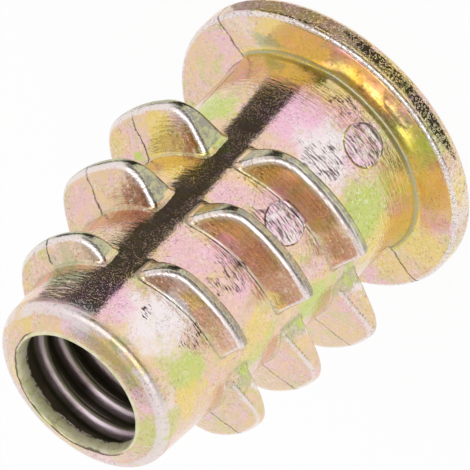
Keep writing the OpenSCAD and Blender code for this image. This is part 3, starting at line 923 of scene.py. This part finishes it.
def run_tree(name, tree, sockets, values):
    """A plain mesh object of what the tree makes."""
    holder = bpy.data.objects.new(name + "_source", bpy.data.meshes.new(name + "_source"))
    bpy.context.scene.collection.objects.link(holder)
    modifier = holder.modifiers.new("nodes", "NODES")
    modifier.node_group = tree
    for key, value in values.items():
        modifier[sockets[key]] = value
    depsgraph = bpy.context.evaluated_depsgraph_get()
    depsgraph.update()
    mesh = bpy.data.meshes.new_from_object(holder.evaluated_get(depsgraph))
    holder.modifiers.remove(modifier)
    bpy.data.objects.remove(holder)
    mesh.name = name
    obj = bpy.data.objects.new(name, mesh)
    bpy.context.scene.collection.objects.link(obj)
    return obj


# -------- stage

WHITE = (1, 1, 1, 1)
# the room that the metal mirrors: its tones, and the side where the strip and the low band are
ROOM, OVERHEAD, STRIP, LOW_BAND = (1.05,) * 3, (0.6,) * 3, (3.2,) * 3, (0.18, 0.19, 0.16)
FRONT = (0.24, -0.97, 0.0)
# cards on the floor that only the metal sees: their outlines in mm
DARK_CARD = ((9.7, -1.6), (9.2, -2.6), (8.4, -4.4), (7.0, -6.2), (6.6, -6.9), (7.0, -7.3), (7.7, -6.0),
             (9.4, -6.3), (12.0, -7.8), (14.6, -9.0), (19.5, -12.4), (26.4, -16.7), (60, -39), (60, 50),
             (26, 28), (24, 25), (34, 12), (30.9, 3.0), (23.4, 0.9), (14.3, -1.2), (9.9, -1.2))


def round_points(*places):
    """Points in mm from their distance and angle about the axis."""
    return tuple((r * math.cos(math.radians(v)), r * math.sin(math.radians(v))) for r, v in places)


# strips round the rim: painted shade on the floor next to the flange, which the rim and shank mirror; the
# first is dark, the second half dark
SHADE_STRIP = round_points(*((8.35, v) for v in range(-116, -51, 5)), (8.5, -51), (9.0, -58), (9.6, -64),
                          (9.7, -75), (9.7, -95), (9.5, -104), (8.9, -110), (8.5, -116))
HALF_SHADE_STRIP = round_points(*((8.1, v) for v in range(-64, 6, 5)),
                           *((9.8, v) for v in reversed(range(-64, 6, 5))))
# name, outline, height above the floor in mm and colour
CARDS = (("dark_card", DARK_CARD, 0.05, (0.01, 0.01, 0.01, 1)),
         ("dark_strip", SHADE_STRIP, 0.06, (0.01, 0.01, 0.01, 1)),
         ("brown_strip", HALF_SHADE_STRIP, 0.04, (0.44, 0.40, 0.36, 1)))


def make_room(scene, brightness):
    """White to the eye; the metal sees a bright strip high up in front and a dark band low down."""
    world = bpy.data.worlds.new("room")
    scene.world = world
    world.use_nodes = True
    n = Nodes(world.node_tree)
    way = n.add("ShaderNodeTexCoord").outputs["Generated"]
    up = n.add("ShaderNodeSeparateXYZ", {0: way}).outputs[2]
    ahead = n.add("ShaderNodeVectorMath", {0: way, 1: FRONT}, operation="DOT_PRODUCT").outputs["Value"]
    # heights here are sines of the angle above the horizon
    tone = n.mix(n.band(up, 0.82, 0.91), ROOM, OVERHEAD)
    strip = n.all_of(n.band(up, 0.71, 0.75), n.band(up, 0.87, 0.82), n.band(ahead, 0.05, 0.3))
    tone = n.mix(strip, tone, STRIP)
    tone = n.mix(n.times(n.band(ahead, 0.2, 0.5), n.band(up, 0.54, 0.42)), tone, LOW_BAND)
    background = n.tree.nodes["Background"]
    n.link(tone, background.inputs["Color"])
    background.inputs["Strength"].default_value = brightness
    seen = n.add("ShaderNodeBackground", {"Color": WHITE})
    path = n.add("ShaderNodeLightPath")
    mix = n.add("ShaderNodeMixShader", {0: path.outputs["Is Camera Ray"], 1: background.outputs[0],
                                        2: seen.outputs[0]})
    n.link(mix.outputs[0], n.tree.nodes["World Output"].inputs["Surface"])


def make_floor():
    """A white floor that keeps the part's shadow and is white in the metal too."""
    bpy.ops.mesh.primitive_plane_add(size=4.0, location=(0, 0, 0))
    floor = bpy.context.object
    floor.name = "floor"
    mat = bpy.data.materials.new("floor")
    mat.use_nodes = True
    n = Nodes(mat.node_tree)
    matt = n.tree.nodes["Principled BSDF"]
    matt.inputs["Base Color"].default_value = (0.92, 0.92, 0.91, 1)
    matt.inputs["Roughness"].default_value = 0.9
    matt.inputs["Specular IOR Level"].default_value = 0.0
    white = n.add("ShaderNodeEmission", {"Color": WHITE, "Strength": 1.0})
    path = n.add("ShaderNodeLightPath")
    shown = n.any_of(path.outputs["Is Camera Ray"], path.outputs["Is Glossy Ray"])
    blend = n.add("ShaderNodeMixShader", {0: n.times(shown, 0.93), 1: matt.outputs[0], 2: white.outputs[0]})
    n.link(blend.outputs[0], n.tree.nodes["Material Output"].inputs["Surface"])
    floor.data.materials.append(mat)


def make_cards():
    for name, outline, height, tone in CARDS:
        paint = bpy.data.materials.new(name)
        paint.use_nodes = True
        paint.node_tree.nodes["Principled BSDF"].inputs["Base Color"].default_value = tone
        card = make_mesh(name, [(x, y, height) for x, y in outline], [tuple(range(len(outline)))])
        card.data.materials.append(paint)
        card.visible_camera = False
        card.visible_shadow = False
        card.visible_diffuse = False


def seen_from(azimuth, elevation):
    """Direction from the part to a place at that azimuth and elevation."""
    return Vector((math.sin(azimuth) * math.cos(elevation), -math.cos(azimuth) * math.cos(elevation),
                   math.sin(elevation)))


def make_softbox(scene, p):
    lamp = bpy.data.lights.new("softbox_front", "AREA")
    lamp.shape, lamp.size, lamp.energy = "DISK", p.box_size, p.box_power
    light = bpy.data.objects.new("softbox_front", lamp)
    scene.collection.objects.link(light)
    back = seen_from(p.box_azimuth, p.box_elevation)
    light.location = Vector((0, 0, p.aim_z)) + back * p.box_distance
    light.rotation_euler = back.to_track_quat("Z", "Y").to_euler()


def make_camera(scene, p):
    back = seen_from(p.azimuth, p.elevation)
    right = Vector((math.cos(p.azimuth), math.sin(p.azimuth), 0.0))
    down = (-back).cross(right)
    across = right * math.cos(p.roll) - down * math.sin(p.roll)
    below = right * math.sin(p.roll) + down * math.cos(p.roll)
    cam = bpy.data.objects.new("camera", bpy.data.cameras.new("camera"))
    scene.collection.objects.link(cam)
    aim = right * p.aim_x + Vector((0, 0, p.aim_z))
    turn = Matrix((across, -below, back)).transposed().to_4x4()
    cam.matrix_world = Matrix.Translation(aim + back * p.distance) @ turn
    cam.data.lens = p.lens
    cam.data.sensor_width = 36.0
    cam.data.clip_start, cam.data.clip_end = 0.05, 10.0
    scene.camera = cam


# -------- operators

class INSERT_OT_casting(bpy.types.Operator):
    """Make the casting with its flange, shank, ribs, socket and bore"""
    bl_idname = "insert.casting"
    bl_label = "Casting"

    def execute(self, context):
        obj = build_casting(context.scene.insert_casting, context.scene.insert_thread)
        dress(obj, finish_material(context))
        return {"FINISHED"}


class INSERT_OT_thread(bpy.types.Operator):
    """Make the inner thread in the bore"""
    bl_idname = "insert.thread"
    bl_label = "Inner thread"

    def execute(self, context):
        p, casting = context.scene.insert_thread, context.scene.insert_casting
        material = finish_material(context)
        tree, sockets = thread_tree(material)
        start = casting.hex_depth + 0.5 * p.root_w + p.first_turn
        turns = (CAD_HIGH[2] - p.entry - p.last_turn - start) / p.pitch
        obj = run_tree("inner_thread", tree, sockets, {
            "Pitch": p.pitch, "Turns": turns, "Start": start, "Minor Radius": p.minor_d / 2,
            "Major Radius": p.major_d / 2 + p.sink, "Crest Width": p.crest_w, "Root Width": p.root_w})
        dress(obj, material)
        return {"FINISHED"}


class INSERT_OT_stage(bpy.types.Operator):
    """Make the floor, the soft light and the camera"""
    bl_idname = "insert.stage"
    bl_label = "Stage"

    def execute(self, context):
        scene, p = context.scene, context.scene.insert_stage
        scene.view_settings.view_transform = "Standard"
        make_room(scene, p.world_level)
        make_floor()
        make_cards()
        make_softbox(scene, p)
        make_camera(scene, p)
        return {"FINISHED"}


GROUPS = {"insert_casting": InsertCastingProps, "insert_thread": InsertThreadProps,
          "insert_finish": InsertFinishProps, "insert_stage": InsertStageProps}
OPERATORS = (INSERT_OT_casting, INSERT_OT_thread, INSERT_OT_stage)


class INSERT_PT_panel(bpy.types.Panel):
    """Threaded insert"""
    bl_label = "Threaded insert"
    bl_space_type = "VIEW_3D"
    bl_region_type = "UI"
    bl_category = "Insert"

    def draw(self, context):
        for group in GROUPS:
            data = getattr(context.scene, group)
            box = self.layout.box()
            for key in data.bl_rna.properties.keys():
                if key not in ("rna_type", "name"):
                    box.prop(data, key)
        for op in OPERATORS:
            self.layout.operator(op.bl_idname)


CLASSES = (*GROUPS.values(), *OPERATORS, INSERT_PT_panel)


def register():
    for c in CLASSES:
        bpy.utils.register_class(c)
    for name, group in GROUPS.items():
        setattr(bpy.types.Scene, name, PointerProperty(type=group))


def unregister():
    for name in GROUPS:
        delattr(bpy.types.Scene, name)
    for c in reversed(CLASSES):
        bpy.utils.unregister_class(c)


def main():
    register()
    bpy.ops.insert.casting()
    bpy.ops.insert.thread()
    bpy.ops.insert.stage()


if __name__ == "__main__":
    main()
